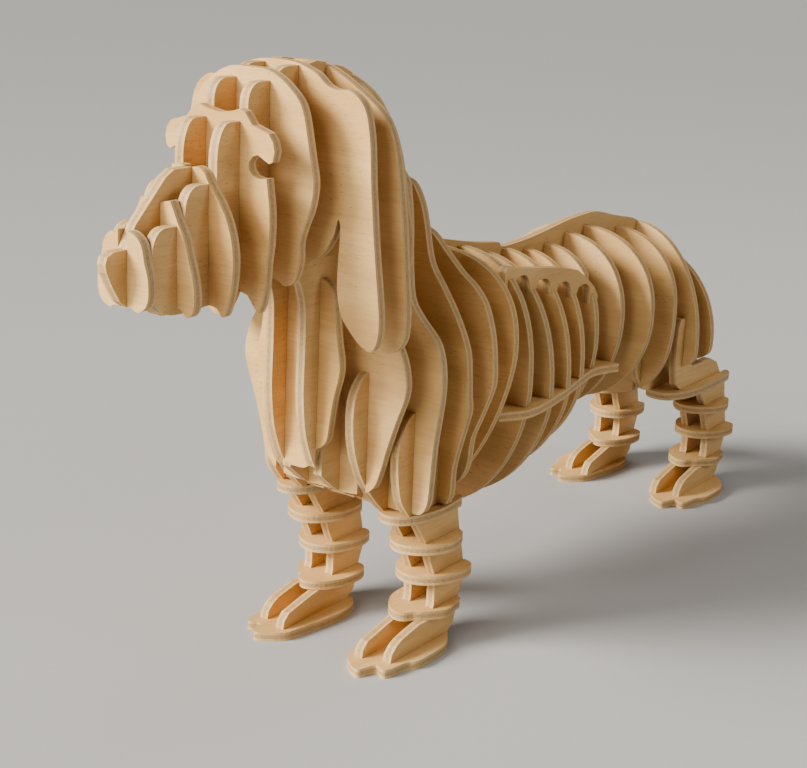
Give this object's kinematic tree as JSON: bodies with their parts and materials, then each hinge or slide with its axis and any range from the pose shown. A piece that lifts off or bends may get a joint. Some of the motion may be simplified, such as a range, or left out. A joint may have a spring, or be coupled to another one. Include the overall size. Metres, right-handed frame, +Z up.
{
  "type": "slot-together wooden dog puzzle",
  "caption": "Long-bodied wooden hound puzzle of slot-together flat slices: head slices on profile plates, ribs under a spine, ringed legs, flat soles.",
  "frame": {"origin": "middle of the overall box, on the ground under the soles", "axes": "-Y is the way the dog faces, +X its left side, +Z up"},
  "size_m": [0.076, 0.3334, 0.188],
  "materials": {
    "plate_ply": "bare plywood",
    "slice_ply": "bare plywood",
    "rib_ply": "bare plywood",
    "ring_ply": "bare plywood",
    "sole_ply": "bare plywood"
  },
  "bodies": {
    "dog_frame": {"profile_plate_left": "plate_ply", "profile_plate_right": "plate_ply", "spine_plate": "plate_ply", "muzzle_slice_front": "slice_ply", "muzzle_slice_rear": "slice_ply", "chest_rib_1": "rib_ply", "chest_rib_2": "rib_ply", "shoulder_rib_1": "rib_ply", "shoulder_rib_2": "rib_ply", "shoulder_rib_3": "rib_ply", "belly_rib_2": "rib_ply", "belly_rib_3": "rib_ply", "belly_rib_4": "rib_ply", "belly_rib_5": "rib_ply", "belly_rib_6": "rib_ply", "hip_rib": "rib_ply", "thigh_rib_1": "rib_ply", "thigh_rib_2": "rib_ply", "front_left_leg_inner": "plate_ply", "front_left_leg_outer": "plate_ply", "front_left_ring_1": "ring_ply", "front_left_ring_2": "ring_ply", "front_left_ring_3": "ring_ply", "front_left_ring_4": "ring_ply", "front_left_sole": "sole_ply", "front_right_leg_inner": "plate_ply", "front_right_leg_outer": "plate_ply", "front_right_ring_1": "ring_ply", "front_right_ring_2": "ring_ply", "front_right_ring_3": "ring_ply", "front_right_ring_4": "ring_ply", "front_right_sole": "sole_ply", "rear_left_leg_inner": "plate_ply", "rear_left_leg_outer": "plate_ply", "rear_left_ring_1": "ring_ply", "rear_left_ring_2": "ring_ply", "rear_left_ring_3": "ring_ply", "rear_left_ring_4": "ring_ply", "rear_left_sole": "sole_ply", "rear_right_leg_inner": "plate_ply", "rear_right_leg_outer": "plate_ply", "rear_right_ring_1": "ring_ply", "rear_right_ring_2": "ring_ply", "rear_right_ring_3": "ring_ply", "rear_right_ring_4": "ring_ply", "rear_right_sole": "sole_ply"},
    "muzzle_part": {"muzzle_plate": "plate_ply", "nose_cap": "slice_ply"},
    "face_slice": {"face_slice": "slice_ply"},
    "forehead_slice": {"forehead_slice": "slice_ply"},
    "ear_slice_front": {"ear_slice_front": "slice_ply"},
    "ear_slice_rear": {"ear_slice_rear": "slice_ply"},
    "nape_slice": {"nape_slice": "slice_ply"},
    "belly_rib_front": {"belly_rib_1": "rib_ply"},
    "loin_rib_front": {"loin_rib_1": "rib_ply"},
    "loin_rib_rear": {"loin_rib_2": "rib_ply"},
    "flank_plate_left": {"flank_plate_left": "plate_ply"},
    "flank_plate_right": {"flank_plate_right": "plate_ply"},
    "belly_deck_left": {"belly_deck_left": "ring_ply"},
    "belly_deck_right": {"belly_deck_right": "ring_ply"}
  },
  "joints": [
    {"name": "muzzle_part_lift", "type": "slide", "parent": "dog_frame", "child": "muzzle_part", "axis": [0, 0, 1], "range_m": [0, 0.02]},
    {"name": "face_slice_lift", "type": "slide", "parent": "dog_frame", "child": "face_slice", "axis": [0, 0, 1], "range_m": [0, 0.032]},
    {"name": "forehead_slice_lift", "type": "slide", "parent": "dog_frame", "child": "forehead_slice", "axis": [0, 0, 1], "range_m": [0, 0.032]},
    {"name": "ear_slice_front_lift", "type": "slide", "parent": "dog_frame", "child": "ear_slice_front", "axis": [0, 0, 1], "range_m": [0, 0.032]},
    {"name": "ear_slice_rear_lift", "type": "slide", "parent": "dog_frame", "child": "ear_slice_rear", "axis": [0, 0, 1], "range_m": [0, 0.032]},
    {"name": "nape_slice_lift", "type": "slide", "parent": "dog_frame", "child": "nape_slice", "axis": [0, 0, 1], "range_m": [0, 0.032]},
    {"name": "flank_plate_left_lift", "type": "slide", "parent": "dog_frame", "child": "flank_plate_left", "axis": [0, 0, 1], "range_m": [0, 0.014]},
    {"name": "flank_plate_right_lift", "type": "slide", "parent": "dog_frame", "child": "flank_plate_right", "axis": [0, 0, 1], "range_m": [0, 0.014]},
    {"name": "belly_rib_front_drop", "type": "slide", "parent": "dog_frame", "child": "belly_rib_front", "axis": [0, 0, -1], "range_m": [0, 0.024]},
    {"name": "loin_rib_front_drop", "type": "slide", "parent": "dog_frame", "child": "loin_rib_front", "axis": [0, 0, -1], "range_m": [0, 0.024]},
    {"name": "loin_rib_rear_drop", "type": "slide", "parent": "dog_frame", "child": "loin_rib_rear", "axis": [0, 0, -1], "range_m": [0, 0.024]},
    {"name": "belly_deck_left_pull", "type": "slide", "parent": "dog_frame", "child": "belly_deck_left", "axis": [1, 0, 0], "range_m": [0, 0.02]},
    {"name": "belly_deck_right_pull", "type": "slide", "parent": "dog_frame", "child": "belly_deck_right", "axis": [-1, 0, 0], "range_m": [0, 0.02]}
  ]
}
